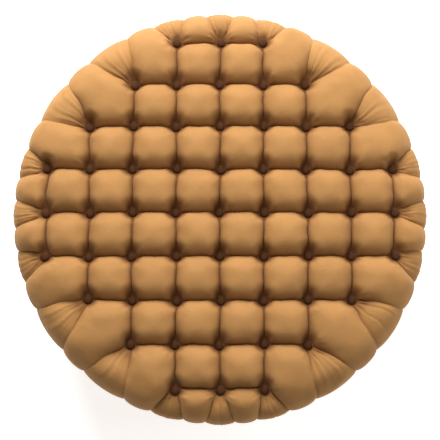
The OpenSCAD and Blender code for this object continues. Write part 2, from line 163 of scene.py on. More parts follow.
class Outline:
    """A revolved outline that is walked by its length, from the middle or the top outwards."""

    def __init__(self, points):
        self.points = np.array(points)
        steps = np.hypot(*np.diff(self.points, axis=0).T)
        self.length = np.concatenate([[0.0], np.cumsum(steps)])
        run = np.gradient(self.points, self.length, axis=0)
        run /= np.hypot(*run.T)[:, None]
        self.normal = np.stack([-run[:, 1], run[:, 0]], axis=1)

    def at(self, length):
        """Radius, height and outward normal at a length along the outline."""
        r, z = (np.interp(length, self.length, self.points[:, c]) for c in (0, 1))
        nr, nz = (np.interp(length, self.length, self.normal[:, c]) for c in (0, 1))
        return r, z, nr, nz

    def length_at_radius(self, r):
        """Length to the first point at a radius."""
        last = int(np.argmax(self.points[:, 0])) + 1
        return np.interp(r, self.points[:last, 0], self.length[:last])

    def length_at_height(self, z):
        """Length to a height, on an outline that only falls."""
        return np.interp(-z, -self.points[:, 1], self.length)


def lid_outline():
    """The crown, the rounded shoulder and the roll in under the lid."""
    crown_drop = 0.006
    shoulder_w = 0.100
    bulge_h = 0.078
    roll = LID_R - FRAME_R
    top = LID_LOW.z + LID_H
    widest_z = LID_LOW.z + bulge_h
    shoulder_r = LID_R - shoulder_w
    under_r = (roll * roll + bulge_h * bulge_h) / (2 * roll)
    under_end = math.asin(bulge_h / under_r)
    crown = [(shoulder_r * k / 40, top - crown_drop * (k / 40) ** 2) for k in range(40)]
    rise = top - crown_drop - widest_z
    shoulder = [(shoulder_r + shoulder_w * math.sin(a), widest_z + rise * math.cos(a))
                for a in np.linspace(0, math.pi / 2, 40)]
    under = [(LID_R - under_r + under_r * math.cos(a), widest_z - under_r * math.sin(a))
             for a in np.linspace(0, under_end, 30)[1:]]
    return Outline(crown + shoulder + under)


def base_outline():
    """The side of the base, from the rim down to the hem."""
    rise = 0.060
    roll = BASE_R - FRAME_R
    arc_r = (roll * roll + rise * rise) / (2 * roll)
    end = math.asin(rise / arc_r)
    centre_r = BASE_R - arc_r
    upper = [(centre_r + arc_r * math.cos(a), BASE_HIGH.z - rise + arc_r * math.sin(a))
             for a in np.linspace(end, 0, 30)]
    lower = [(centre_r + arc_r * math.cos(a), BASE_LOW.z + rise - arc_r * math.sin(a))
             for a in np.linspace(0, end, 30)]
    middle = [(BASE_R, z) for z in np.linspace(upper[-1][1], lower[0][1], 30)[1:-1]]
    return Outline(upper + middle + lower)


LID = lid_outline()
BASE = base_outline()

# ---- How the cloth lies ----


def ease(x, low, high):
    """Smooth step from 0 at low to 1 at high."""
    t = np.clip((x - low) / (high - low), 0, 1)
    return t * t * (3 - 2 * t)


def bulge(r):
    """Fall of a puff from 0 at its middle to 1 at its edge: a broad dome with a steep edge."""
    r = np.clip(r, 0, 1)
    return 0.42 * r ** 2 + 0.58 * (1 - (1 - r ** 3.0) ** 0.50)


def meet(*edges):
    """Joins nearness to several edges of a puff, 0 at its middle and 1 on an edge, with round corners."""
    return sum(np.clip(e, 0, 1) ** 4 for e in edges) ** 0.25


def crowd(s, amount=0.62):
    """Moves evenly spaced places from 0 to 1 towards both ends, where the folds are."""
    return s - amount * np.sin(math.tau * s) / math.tau


def spread(d):
    """Share of the way from a rim button's direction to a side button's, by length from the rim button."""
    return 0.60 * (1 - np.exp(-d / 0.062)) + 0.15 * np.clip(d / EDGE_RUN, 0, 1)


def wander(points, scale, seed, amount):
    """Smooth drift of each point, the same for the same place."""
    noise.seed_set(seed)
    shift = Vector((seed * 7.3, seed * 3.1, seed * 1.7))
    return np.array([noise.noise_vector(Vector(p) / scale + shift)[:] for p in points]) * amount


def turned(direction, length):
    """Point on the unit circle times a length, for arrays of directions."""
    return np.stack([np.cos(direction) * length, np.sin(direction) * length], axis=1)


class LidCloth:
    """Places every point of the lid's cover, square by square, kite by kite and fan by fan.

    A kite is the puff between two neighbouring rim buttons. A fan is the cloth gathered outside one of them.
    """

    def __init__(self, crease_depth, pleat_depth):
        self.crease = crease_depth
        self.pleat = pleat_depth
        self.end = LID.length[-1]
        self.rim_length = [LID.length_at_radius(math.hypot(*g) * PITCH) for g in RIM]

    def edge_depth(self, d):
        """Depth of a pleat at a length from its rim button."""
        fading = (self.crease - self.pleat) * (1 - ease(d, 0.0, 0.110))
        return self.pleat + fading - 0.003 * ease(d, 0.14, 0.24)

    def place(self, length, angle, depth):
        """Points on the outline, sunk along its normal."""
        r, z, nr, nz = LID.at(length)
        return np.concatenate([turned(angle, r - nr * depth), (z - nz * depth)[:, None]], axis=1)

    def square(self, k, s, t):
        """Points of a square puff with a button at each corner."""
        i, j = SQUARES[k]
        u, v = crowd(s), crowd(t)
        x, y = (i + u) * PITCH, (j + v) * PITCH
        fall = bulge(meet(1 - 2 * u, 2 * u - 1, 1 - 2 * v, 2 * v - 1))
        lip = np.minimum(v, 1 - v) * PITCH
        points = self.place(LID.length_at_radius(np.hypot(x, y)), np.arctan2(y, x), self.crease * fall)
        return points, fall, lip

    def kite(self, k, s, t):
        """Points of an edge puff, which narrows over the edge towards a side button."""
        a, b = np.array(RIM[k]), np.array(RIM[(k + 1) % RIM_COUNT])
        angle_a, middle = RIM_ANGLE[k], SIDE_ANGLE[k]
        angle_b = 2 * middle - angle_a
        length_a, length_b = self.rim_length[k], self.rim_length[(k + 1) % RIM_COUNT]
        inner = [c for c in ((a[0], b[1]), (b[0], a[1])) if tuple(c) in GRID]
        straight = abs(a - b).sum() == 1
        if straight:
            path = a + (b - a) * crowd(s)[:, None]
        else:
            c = np.array(inner[0])
            first = s < 0.5
            leg = crowd(np.where(first, 2 * s, 2 * s - 1))[:, None]
            path = np.where(first[:, None], a + (c - a) * leg, c + (b - c) * leg)
        start_angle = angle_a + (np.arctan2(path[:, 1], path[:, 0]) - angle_a + math.pi) % math.tau - math.pi
        start = LID.length_at_radius(np.hypot(*path.T) * PITCH)
        far = t ** 1.3
        length = start + (self.end - start) * far
        low = angle_a + (middle - angle_a) * spread((self.end - length_a) * far)
        high = angle_b + (middle - angle_b) * spread((self.end - length_b) * far)
        start_share = (start_angle - angle_a) / (angle_b - angle_a)
        share = start_share + (crowd(s) - start_share) * ease(far, 0, 0.45)
        angle = low + (high - low) * share

        r = LID.at(length)[0]
        low_here = angle_a + (middle - angle_a) * spread(np.maximum(length - length_a, 0))
        high_here = angle_b + (middle - angle_b) * spread(np.maximum(length - length_b, 0))
        width = np.maximum((high_here - low_here) * r, 0.001)
        half = np.minimum(PITCH / 2, width / 2)
        near_low = (1 - (angle - low_here) * r / half) * ease(length - length_a, -0.035, 0)
        near_high = (1 - (high_here - angle) * r / half) * ease(length - length_b, -0.035, 0)
        flat = turned(angle, r) / PITCH
        if straight:
            out = np.array([b[1] - a[1], a[0] - b[0]])
            crossing = [(flat - a) @ out]
            level = [abs(out[1]) == 1]
        else:
            crossing = [(flat - c) @ (b - c), (flat - c) @ (a - c)]
            level = [(a - c)[1] == 0, (b - c)[1] == 0]
        fall = bulge(meet(near_low, near_high, *(1 - 2 * q for q in crossing)))
        height = np.clip(width / 0.060, 0, 1)
        edge = self.edge_depth(length - (length_a + (length_b - length_a) * share))
        lip = np.full(len(s), 1.0)
        for q, is_level in zip(crossing, level):
            if is_level:
                lip = np.minimum(lip, np.abs(q) * PITCH)
        depth = edge * (1 - height * (1 - fall))
        return self.place(length, angle, depth), depth / self.crease, lip

    def fan(self, k, s, t):
        """Points of the gathered cloth outside a rim button."""
        angle_k, length_k = RIM_ANGLE[k], self.rim_length[k]
        d = (self.end - length_k) * t ** 1.3
        before = SIDE_ANGLE[k - 1] - (math.tau if k == 0 else 0)
        low = angle_k + (before - angle_k) * spread(d)
        high = angle_k + (SIDE_ANGLE[k] - angle_k) * spread(d)
        share = crowd(s, 0.3)
        angle = low + (high - low) * share
        swell = 0.10 + 0.88 * ease(d, 0.015, 0.120)
        fall = bulge(np.abs(2 * share - 1))
        turn = random.Random(31 + k)
        gather = ease(d, 0.008, 0.030) * (1 - ease(d, 0.050, 0.170)) * np.sin(math.pi * share) ** 0.5
        folds = np.zeros(len(s))
        for count in (3.2, 5.3, 8.1):
            wave = math.tau * (count + turn.uniform(-0.4, 0.4)) * (share + 0.03 * np.sin(d * 60))
            folds += turn.uniform(0.4, 1.0) * 0.0010 * np.sin(wave + turn.uniform(0, math.tau))
        folds = gather * folds
        depth = self.edge_depth(d) * (1 - swell * (1 - fall)) + folds
        return self.place(length_k + d, angle, depth), depth / self.crease, np.full(len(s), 1.0)


def button_places():
    """Each top button's strayed place, the same for the cloth and for the button."""
    stray = random.Random(7)
    drift = sizes().drift
    return np.array([[i * PITCH + stray.uniform(-drift, drift), j * PITCH + stray.uniform(-drift, drift)]
                     for i, j in GRID])


def tuck_in(points, fall, lip):
    """Draws the cloth down to the buttons, leans the puffs over and lets the folds wander."""
    settings = sizes()
    home = np.array(GRID) * PITCH
    away = np.hypot(*(points[:, None, :2] - home[None]).transpose(2, 0, 1))
    nearest = away.argmin(axis=1)
    d = away[np.arange(len(points)), nearest]
    across, behind = (points[:, :2] - home[nearest]).T
    tear = np.hypot(across * np.where(behind > 0, 1.15, 1.0), behind * np.where(behind > 0, 0.74, 1.15))
    pull = (1 - ease(tear, 0.0095, 0.033)) ** 1.6
    on_top = ease(points[:, 2], SEAT_Z - 0.030, SEAT_Z - 0.005)
    pull = pull * on_top
    lean = settings.lip * np.exp(-(lip / 0.013) ** 2) * (1 - np.clip(fall, 0, 1)) * (1 - pull)
    points[:, 1] += lean
    angle = np.arctan2(points[:, 1] - home[nearest, 1], points[:, 0] - home[nearest, 0])
    count = 9 + (nearest * 5) % 6
    at_edge = np.array([g in RIM for g in GRID])[nearest]
    strength = 0.0005 + 0.0010 * ((nearest * 37) % 10 / 10) ** 2 + 0.0006 * at_edge
    gather = strength * np.exp(-((d - 0.023) / 0.011) ** 2) * on_top
    points[:, 2] -= gather * (1 + np.sin(count * angle + nearest + 1.7 * np.sin(2 * angle)))
    points[:, 2] += pull * (SEAT_Z - points[:, 2])
    points[:, :2] += wander(points, 0.028, 3, 0.0022)[:, :2] * (on_top * (1 - pull))[:, None]
    points[:, 2] -= 0.0012 * (1 + wander(points, 0.045, 5, 1.0)[:, 2]) * (1 - pull) * on_top
    moved = button_places() - home
    weight = np.exp(-(away / 0.034) ** 2)
    points[:, :2] += (weight @ moved) * on_top[:, None]
    return pull


def grid_piece(bm, columns, rows, key):
    """A grid over the unit square, at a height that says which part of the cloth it is."""
    bmesh.ops.create_grid(bm, x_segments=columns, y_segments=rows, size=0.5,
                          matrix=Matrix.Translation((0.5, 0.5, key)))


def mesh_points(mesh):
    """Vertex places as an array."""
    co = np.zeros(len(mesh.vertices) * 3)
    mesh.vertices.foreach_get("co", co)
    return co.reshape(-1, 3)


def set_points(mesh, points):
    """Moves every vertex to its place."""
    mesh.vertices.foreach_set("co", np.ascontiguousarray(points, dtype=np.float32).ravel())
    mesh.update()


def set_values(mesh, name, values):
    """Stores one number per vertex, for the materials."""
    layer = mesh.attributes.new(name, "FLOAT", "POINT")
    layer.data.foreach_set("value", np.ascontiguousarray(values, dtype=np.float32))


def shape_grids(mesh, kinds):
    """Moves the vertices of the unit grids to where their part of the cloth lies."""
    flat = mesh_points(mesh)
    key = np.rint(flat[:, 2]).astype(int)
    points, fall, lip = np.zeros_like(flat), np.zeros(len(flat)), np.ones(len(flat))
    for number in np.unique(key):
        here = key == number
        kind, k = divmod(int(number), 100)
        points[here], fall[here], lip[here] = kinds[kind](k, flat[here, 0], flat[here, 1])
    return points, fall, lip


def new_object(name, mesh, material, smooth=True):
    """An object at the origin with one material."""
    piece = bpy.data.objects.new(name, mesh)
    bpy.context.scene.collection.objects.link(piece)
    if smooth:
        mesh.shade_smooth()
    mesh.materials.append(material)
    return piece


def mesh_of(bm, name):
    """A mesh made from a bmesh, which is freed."""
    mesh = bpy.data.meshes.new(name)
    bm.to_mesh(mesh)
    bm.free()
    return mesh


def lid_shell(name, across, down, cloth):
    """The lid's upholstery as one closed skin: squares, kites, fans, and a flat underside."""
    bm = bmesh.new()
    for k in range(len(SQUARES)):
        grid_piece(bm, across, across, k)
    for k in range(RIM_COUNT):
        straight = sum(abs(p - q) for p, q in zip(RIM[k], RIM[(k + 1) % RIM_COUNT])) == 1
        grid_piece(bm, across if straight else 2 * across, down, 100 + k)
        grid_piece(bm, across, down, 200 + k)
    mesh = mesh_of(bm, name)
    points, fall, lip = shape_grids(mesh, (cloth.square, cloth.kite, cloth.fan))
    pull = tuck_in(points, fall, lip)
    set_points(mesh, points)
    # Painted shade mask: high in the creases and round the buttons, where the velvet is painted darker.
    set_values(mesh, "hollow", np.maximum(np.clip(fall, 0, 1) ** 3, pull))
    bm = bmesh.new()
    bm.from_mesh(mesh)
    bmesh.ops.remove_doubles(bm, verts=bm.verts, dist=WELD)
    hem = [e for e in bm.edges if e.is_boundary]
    close_underside(bm, hem, FRAME_R - HEM_W, LID_LOW.z + 0.0004)
    bmesh.ops.recalc_face_normals(bm, faces=bm.faces)
    bm.to_mesh(mesh)
    bm.free()
    return mesh


def extrude_ring(bm, edges, place):
    """Extrudes a closed ring of edges and moves each new vertex to place(vertex)."""
    made = bmesh.ops.extrude_edge_only(bm, edges=edges)["geom"]
    for v in (g for g in made if isinstance(g, bmesh.types.BMVert)):
        v.co = place(v.co)
    return [g for g in made if isinstance(g, bmesh.types.BMEdge)]


def at_radius(r, z):
    """Moves a point to a radius and a height without turning it about the middle."""
    def move(co):
        scale = r / math.hypot(co.x, co.y)
        return Vector((co.x * scale, co.y * scale, z))
    return move


def close_underside(bm, hem, inner_r, z):
    """Turns the hem in under the board and closes the bottom with rings and a hub."""
    edges = hem
    for r in (FRAME_R - 0.002, inner_r, inner_r * 0.6, inner_r * 0.2):
        edges = extrude_ring(bm, edges, at_radius(r, z))
    bmesh.ops.holes_fill(bm, edges=edges, sides=0)


class BaseCloth:
    """Places every point of the base's cover: kites and fans from the rim down, and the panels below."""

    def __init__(self, depth):
        self.depth = depth
        self.side = BASE.length_at_height(SIDE_Z)
        self.end = BASE.length[-1]

    def place(self, length, angle, depth):
        """Points on the side, sunk inwards, with the cloth flat at the rim and the hem."""
        r, z, nr, nz = BASE.at(length)
        flat = ease(length, 0, 0.035) * ease(self.end - length, 0, 0.035)
        return np.concatenate([turned(angle, r - depth * flat), z[:, None]], axis=1)

    def borders(self, k, length):
        """Directions of the two pleats beside a side button's kite."""
        first, middle = RIM_ANGLE[k], SIDE_ANGLE[k]
        start = spread(EDGE_RUN)
        share = start + (1 - start) * ease(length / self.side, 0, 1)
        return first + (middle - first) * share, 2 * middle - first - (middle - first) * share

    def kite(self, k, s, t):
        """Points of a kite's end, above a side button."""
        length = self.side * t
        low, high = self.borders(k, length)
        share = crowd(s, 0.3)
        height = np.clip((high - low) * BASE_R / 0.050, 0, 1)
        depth = self.depth * (1 - height * (1 - bulge(np.abs(2 * share - 1))))
        return self.place(length, low + (high - low) * share, depth), depth / self.depth, np.ones(len(s))

    def fan(self, k, s, t):
        """Points of the cloth between two kites."""
        length = self.side * t
        high = self.borders(k, length)[0]
        low = self.borders(k - 1, length)[1] - (math.tau if k == 0 else 0)
        share = crowd(s, 0.3)
        depth = self.depth * bulge(np.abs(2 * share - 1))
        return self.place(length, low + (high - low) * share, depth), depth / self.depth, np.ones(len(s))

    def panel(self, k, s, t):
        """Points of the cloth below, between two upright pleats."""
        length = self.side + (self.end - self.side) * t
        low = SIDE_ANGLE[k - 1] - (math.tau if k == 0 else 0)
        share = crowd(s, 0.3)
        depth = self.depth * bulge(np.abs(2 * share - 1))
        angle = low + (SIDE_ANGLE[k] - low) * share
        return self.place(length, angle, depth), depth / self.depth, np.ones(len(s))


def tuck_in_side(points):
    """Draws the side cloth in to the side buttons."""
    r = np.hypot(points[:, 0], points[:, 1])
    angle = np.arctan2(points[:, 1], points[:, 0])
    turn = (angle[:, None] - np.array(SIDE_ANGLE)[None] + math.pi) % math.tau - math.pi
    nearest = np.abs(turn).argmin(axis=1)
    across = turn[np.arange(len(points)), nearest] * BASE_R
    d = np.hypot(across, points[:, 2] - SIDE_Z)
    pull = (1 - ease(d, 0.0095, 0.034)) ** 1.4
    creases = 0.0009 * np.exp(-((d - 0.024) / 0.011) ** 2)
    creases = creases * np.sin(9 * np.arctan2(points[:, 2] - SIDE_Z, across) + nearest)
    new = r + pull * (SIDE_SEAT_R - r) - np.abs(creases)
    points[:, :2] *= (new / r)[:, None]
    return pull


def base_shell(name, across, above, below, cloth):
    """The base's upholstery as one closed band with its hems turned in over the frame."""
    bm = bmesh.new()
    for k in range(RIM_COUNT):
        grid_piece(bm, across, above, k)
        grid_piece(bm, across, above, 100 + k)
        grid_piece(bm, across, below, 200 + k)
    mesh = mesh_of(bm, name)
    points, fall, lip = shape_grids(mesh, (cloth.kite, cloth.fan, cloth.panel))
    pull = tuck_in_side(points)
    set_points(mesh, points)
    # Painted shade mask: high in the pleats and round the side buttons, where the velvet is painted darker.
    set_values(mesh, "hollow", np.maximum(np.clip(fall, 0, 1) ** 2, pull))
    bm = bmesh.new()
    bm.from_mesh(mesh)
    bmesh.ops.remove_doubles(bm, verts=bm.verts, dist=WELD)
    rim = [e for e in bm.edges if e.is_boundary and e.verts[0].co.z > SIDE_Z]
    hem = [e for e in bm.edges if e.is_boundary and e.verts[0].co.z < SIDE_Z]
    turn_in = FRAME_R - HEM_W
    against_frame = FRAME_R + 0.0003
    under_rim, over_hem = BASE_HIGH.z - HEM_T, BASE_LOW.z + HEM_T
    for r, z in ((turn_in, BASE_HIGH.z), (turn_in, under_rim), (against_frame, under_rim)):
        rim = extrude_ring(bm, rim, at_radius(r, z))
    for r, z in ((turn_in, BASE_LOW.z), (turn_in, over_hem), (against_frame, over_hem)):
        hem = extrude_ring(bm, hem, at_radius(r, z))
    bmesh.ops.bridge_loops(bm, edges=rim + hem)
    bmesh.ops.recalc_face_normals(bm, faces=bm.faces)
    bm.to_mesh(mesh)
    bm.free()
    return mesh


def button_mesh(name, places):
    """Covered buttons, one at each matrix: a domed cap with its cloth turned under."""
    rise = BUTTON_HIGH.z - BUTTON_LOW.z
    profile = ((0, 1), (0.30, 0.985), (0.58, 0.87), (0.80, 0.66), (0.94, 0.40), (1, 0.20), (0.95, 0.04),
               (0.78, 0), (0, 0))
    bm = bmesh.new()
    verts = [bm.verts.new((r * BUTTON_R, 0, h * rise)) for r, h in profile]
    edges = [bm.edges.new(pair) for pair in zip(verts, verts[1:])]
    bmesh.ops.spin(bm, geom=verts + edges, cent=(0, 0, 0), axis=(0, 0, 1), dvec=(0, 0, 0), angle=math.tau,
                   steps=24, use_merge=True)
    bmesh.ops.remove_doubles(bm, verts=bm.verts, dist=0.00001)
    bmesh.ops.recalc_face_normals(bm, faces=bm.faces)
    one = mesh_of(bm, name)
    bm = bmesh.new()
    for place in places:
        start = len(bm.verts)
        bm.from_mesh(one)
        bm.verts.ensure_lookup_table()
        bmesh.ops.transform(bm, matrix=place, verts=bm.verts[start:])
    bm.to_mesh(one)
    bm.free()
    return one


def wall_cloth(name, node, floor_node):
    """A lining glued round the well and over the rim, slightly slack between its glued places."""
    low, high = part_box(node)
    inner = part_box(floor_node)[1].x
    thick = HEM_T
    bm = bmesh.new()
    bmesh.ops.create_circle(bm, segments=288, radius=inner)
    bmesh.ops.translate(bm, vec=(0, 0, low.z), verts=bm.verts)
    first = list(bm.edges)
    edges = first
    for z in np.linspace(low.z, high.z, 26)[1:]:
        edges = extrude_ring(bm, edges, slack(inner, z, low.z, high.z))
    outline = ((inner + 0.003, high.z), (high.x, high.z), (high.x, high.z - thick),
               (inner + thick, high.z - thick), (inner + thick, low.z))
    for r, z in outline:
        edges = extrude_ring(bm, edges, at_radius(r, z))
    bmesh.ops.bridge_loops(bm, edges=edges + first)
    bmesh.ops.recalc_face_normals(bm, faces=bm.faces)
    return mesh_of(bm, name)


def slack(r, z, low, high):
    """Moves a point to a radius and a height, a little inwards where the cloth isn't held."""
    free = math.sin(math.pi * (z - low) / (high - low))

    def move(co):
        ripple = noise.noise(Vector((co.x * 14, co.y * 14, z * 5)))
        here = r - 0.0009 * free * (0.5 + 0.5 * ripple)
        scale = here / math.hypot(co.x, co.y)
        return Vector((co.x * scale, co.y * scale, z))
    return move


def disc_cloth(name, node, upwards, notch=None):
    """A round cloth glued to a board, with its slack on the free side, and a notch at the back if asked."""
    low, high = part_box(node)
    outer = high.x
    free, held = (high.z, low.z) if upwards else (low.z, high.z)

    def place(share, z):
        def move(co):
            angle = math.atan2(co.y, co.x)
            reach = outer
            if notch and math.sin(angle) > 0 and abs(math.cos(angle)) * outer < notch[0]:
                reach = min(outer, notch[1] / math.sin(angle))
            ripple = noise.noise(Vector((math.cos(angle) * share * 3, math.sin(angle) * share * 3, z * 9)))
            sunk = (held - z) * 0.35 * (0.5 + 0.5 * ripple) if z == free else 0
            return Vector((math.cos(angle) * reach * share, math.sin(angle) * reach * share, z + sunk))
        return move

    bm = bmesh.new()
    bmesh.ops.create_circle(bm, segments=288, radius=outer)
    for v in bm.verts:
        v.co = place(1, held)(v.co)
    edges = list(bm.edges)
    under = edges
    for share, z in [(0.999, free)] + [(q, free) for q in np.linspace(0.97, 0.03, 22)]:
        edges = extrude_ring(bm, edges, place(share, z))
    bmesh.ops.holes_fill(bm, edges=edges, sides=0)
    for share in (0.6, 0.2):
        under = extrude_ring(bm, under, place(share, held))
    bmesh.ops.holes_fill(bm, edges=under, sides=0)
    bmesh.ops.recalc_face_normals(bm, faces=bm.faces)
    return mesh_of(bm, name)


# ---- Materials ----


def new_material(name):
    """A node material, its nodes, its links and its Principled shader."""
    material = bpy.data.materials.new(name)
    material.use_nodes = True
    tree = material.node_tree
    return material, tree.nodes, tree.links, tree.nodes["Principled BSDF"]


def velvet():
    """The cover's velvet."""
    return pile_material("Velvet", colours().velvet, colours().velvet_painted_shade)


def button_velvet():
    """The buttons' velvet, the same cloth painted darker still than the creases: painted shade for buttons
    sunk in their recesses.
    """
    return pile_material("Button velvet", [c * 0.6 for c in colours().velvet_painted_shade], colours().velvet_painted_shade)


def new_group(name, sockets, outputs):
    """An empty node group with its sockets."""
    group = bpy.data.node_groups.new(name, "ShaderNodeTree")
    for socket, kind, value in sockets:
        group.interface.new_socket(socket, in_out="INPUT", socket_type=kind).default_value = value
    for socket, kind in outputs:
        group.interface.new_socket(socket, in_out="OUTPUT", socket_type=kind)
    nodes = group.nodes
    return group, nodes, group.links, nodes.new("NodeGroupInput"), nodes.new("NodeGroupOutput")


def pile_group():
    """Short pile: patches of nap, painted shade darkening the creases and the recesses round the buttons,
    crushed places and a fine grain.
    """
    if "Pile" in bpy.data.node_groups:
        return bpy.data.node_groups["Pile"]
    group, nodes, links, inward, outward = new_group(
        "Pile",
        (("Pile", "NodeSocketColor", (1, 1, 1, 1)), ("Worn", "NodeSocketColor", (1, 1, 1, 1)),
         ("Painted shade", "NodeSocketColor", (0, 0, 0, 1)), ("Painted shade mask", "NodeSocketFloat", 0.0)),
        (("Colour", "NodeSocketColor"), ("Crush", "NodeSocketFloat"), ("Grain", "NodeSocketFloat")))
    place = nodes.new("ShaderNodeTexCoord")
    noises = {}
    kinds = (("patches", 16, 3, 0), ("crush", 95, 4, 1.2), ("grain", 1400, 2, 0))
    for kind, scale, detail, distortion in kinds:
        noises[kind] = nodes.new("ShaderNodeTexNoise")
        noises[kind].inputs["Scale"].default_value = scale
        noises[kind].inputs["Detail"].default_value = detail
        noises[kind].inputs["Distortion"].default_value = distortion
        links.new(place.outputs["Object"], noises[kind].inputs["Vector"])
    tone = nodes.new("ShaderNodeMapRange")
    tone.inputs["From Min"].default_value = 0.30
    tone.inputs["From Max"].default_value = 0.70
    links.new(noises["patches"].outputs["Fac"], tone.inputs["Value"])
    pile = nodes.new("ShaderNodeMix")
    pile.data_type = "RGBA"
    links.new(tone.outputs["Result"], pile.inputs["Factor"])
    links.new(inward.outputs["Worn"], pile.inputs["A"])
    links.new(inward.outputs["Pile"], pile.inputs["B"])
    # Painted shade: mixes the dark colour in where the mask is high, in the creases and round the buttons.
    deep = nodes.new("ShaderNodeMix")
    deep.data_type = "RGBA"
    links.new(inward.outputs["Painted shade mask"], deep.inputs["Factor"])
    links.new(pile.outputs["Result"], deep.inputs["A"])
    links.new(inward.outputs["Painted shade"], deep.inputs["B"])
    links.new(deep.outputs["Result"], outward.inputs["Colour"])
    links.new(noises["crush"].outputs["Fac"], outward.inputs["Crush"])
    links.new(noises["grain"].outputs["Fac"], outward.inputs["Grain"])
    return group


def pile_material(name, pile_colour, painted_shade_colour):
    """Velvet with soft crushed relief, a fine grain, sheen towards grazing light, and painted shade: a dark
    colour mixed into the creases and round the buttons.
    """
    if name in bpy.data.materials:
        return bpy.data.materials[name]
    material, nodes, links, shader = new_material(name)
    pile = nodes.new("ShaderNodeGroup")
    pile.node_tree = pile_group()
    pile.inputs["Pile"].default_value = (*pile_colour, 1)
    pile.inputs["Worn"].default_value = (*[c * 0.86 for c in pile_colour], 1)
    pile.inputs["Painted shade"].default_value = (*painted_shade_colour, 1)
    # Painted shade mask, read from the mesh.
    hollow = nodes.new("ShaderNodeAttribute")
    hollow.attribute_name = "hollow"
    links.new(hollow.outputs["Fac"], pile.inputs["Painted shade mask"])
    links.new(pile.outputs["Colour"], shader.inputs["Base Color"])
    soft = nodes.new("ShaderNodeBump")
    soft.inputs["Strength"].default_value = 0.16
    soft.inputs["Distance"].default_value = 0.0035
    links.new(pile.outputs["Crush"], soft.inputs["Height"])
    fine = nodes.new("ShaderNodeBump")
    fine.inputs["Strength"].default_value = 0.22
    fine.inputs["Distance"].default_value = 0.001
    links.new(pile.outputs["Grain"], fine.inputs["Height"])
    links.new(soft.outputs["Normal"], fine.inputs["Normal"])
    links.new(fine.outputs["Normal"], shader.inputs["Normal"])
    rubbed = nodes.new("ShaderNodeMapRange")
    rubbed.inputs["To Min"].default_value = 0.68
    rubbed.inputs["To Max"].default_value = 0.86
    links.new(pile.outputs["Crush"], rubbed.inputs["Value"])
    links.new(rubbed.outputs["Result"], shader.inputs["Roughness"])
    shader.inputs["Specular IOR Level"].default_value = 0.15
    shader.inputs["Sheen Weight"].default_value = 0.30
    shader.inputs["Sheen Roughness"].default_value = 0.35
    shader.inputs["Sheen Tint"].default_value = (1.0, 0.80, 0.52, 1)
    return material


def streaks_group():
    """Grain that can be stretched: fibres in wood, brushing on metal, grains in plastic."""
    if "Streaks" in bpy.data.node_groups:
        return bpy.data.node_groups["Streaks"]
    group, nodes, links, inward, outward = new_group(
        "Streaks",
        (("Scale", "NodeSocketFloat", 10.0), ("Stretch", "NodeSocketVector", (1, 1, 1)),
         ("Light", "NodeSocketColor", (1, 1, 1, 1)), ("Dark", "NodeSocketColor", (0, 0, 0, 1))),
        (("Colour", "NodeSocketColor"), ("Height", "NodeSocketFloat")))
    place = nodes.new("ShaderNodeTexCoord")
    stretch = nodes.new("ShaderNodeMapping")
    grain = nodes.new("ShaderNodeTexNoise")
    grain.inputs["Detail"].default_value = 5
    grain.inputs["Distortion"].default_value = 0.4
    mix = nodes.new("ShaderNodeMix")
    mix.data_type = "RGBA"
    tone = nodes.new("ShaderNodeMapRange")
    tone.inputs["From Min"].default_value = 0.3
    tone.inputs["From Max"].default_value = 0.7
    links.new(place.outputs["Object"], stretch.inputs["Vector"])
    links.new(inward.outputs["Stretch"], stretch.inputs["Scale"])
    links.new(stretch.outputs["Vector"], grain.inputs["Vector"])
    links.new(inward.outputs["Scale"], grain.inputs["Scale"])
    links.new(grain.outputs["Fac"], tone.inputs["Value"])
    links.new(tone.outputs["Result"], mix.inputs["Factor"])
    links.new(inward.outputs["Dark"], mix.inputs["A"])
    links.new(inward.outputs["Light"], mix.inputs["B"])
    links.new(mix.outputs["Result"], outward.inputs["Colour"])
    links.new(tone.outputs["Result"], outward.inputs["Height"])
    return group


def weave_group():
    """Warp and weft, crossing."""
    if "Weave" in bpy.data.node_groups:
        return bpy.data.node_groups["Weave"]
    group, nodes, links, inward, outward = new_group(
        "Weave",
        (("Scale", "NodeSocketFloat", 300.0), ("Light", "NodeSocketColor", (1, 1, 1, 1)),
         ("Dark", "NodeSocketColor", (0, 0, 0, 1))),
        (("Colour", "NodeSocketColor"), ("Height", "NodeSocketFloat")))
    place = nodes.new("ShaderNodeTexCoord")
    both = nodes.new("ShaderNodeMath")
    both.operation = "MULTIPLY"
    for k, direction in enumerate(("X", "Y")):
        threads = nodes.new("ShaderNodeTexWave")
        threads.bands_direction = direction
        threads.inputs["Distortion"].default_value = 0.6
        turned_place = nodes.new("ShaderNodeMapping")
        turned_place.inputs["Rotation"].default_value = (0.6, 0.4, 0)
        links.new(place.outputs["Object"], turned_place.inputs["Vector"])
        links.new(turned_place.outputs["Vector"], threads.inputs["Vector"])
        links.new(inward.outputs["Scale"], threads.inputs["Scale"])
        links.new(threads.outputs["Fac"], both.inputs[k])
    mix = nodes.new("ShaderNodeMix")
    mix.data_type = "RGBA"
    links.new(both.outputs["Value"], mix.inputs["Factor"])
    links.new(inward.outputs["Dark"], mix.inputs["A"])
    links.new(inward.outputs["Light"], mix.inputs["B"])
    links.new(mix.outputs["Result"], outward.inputs["Colour"])
    links.new(both.outputs["Value"], outward.inputs["Height"])
    return group


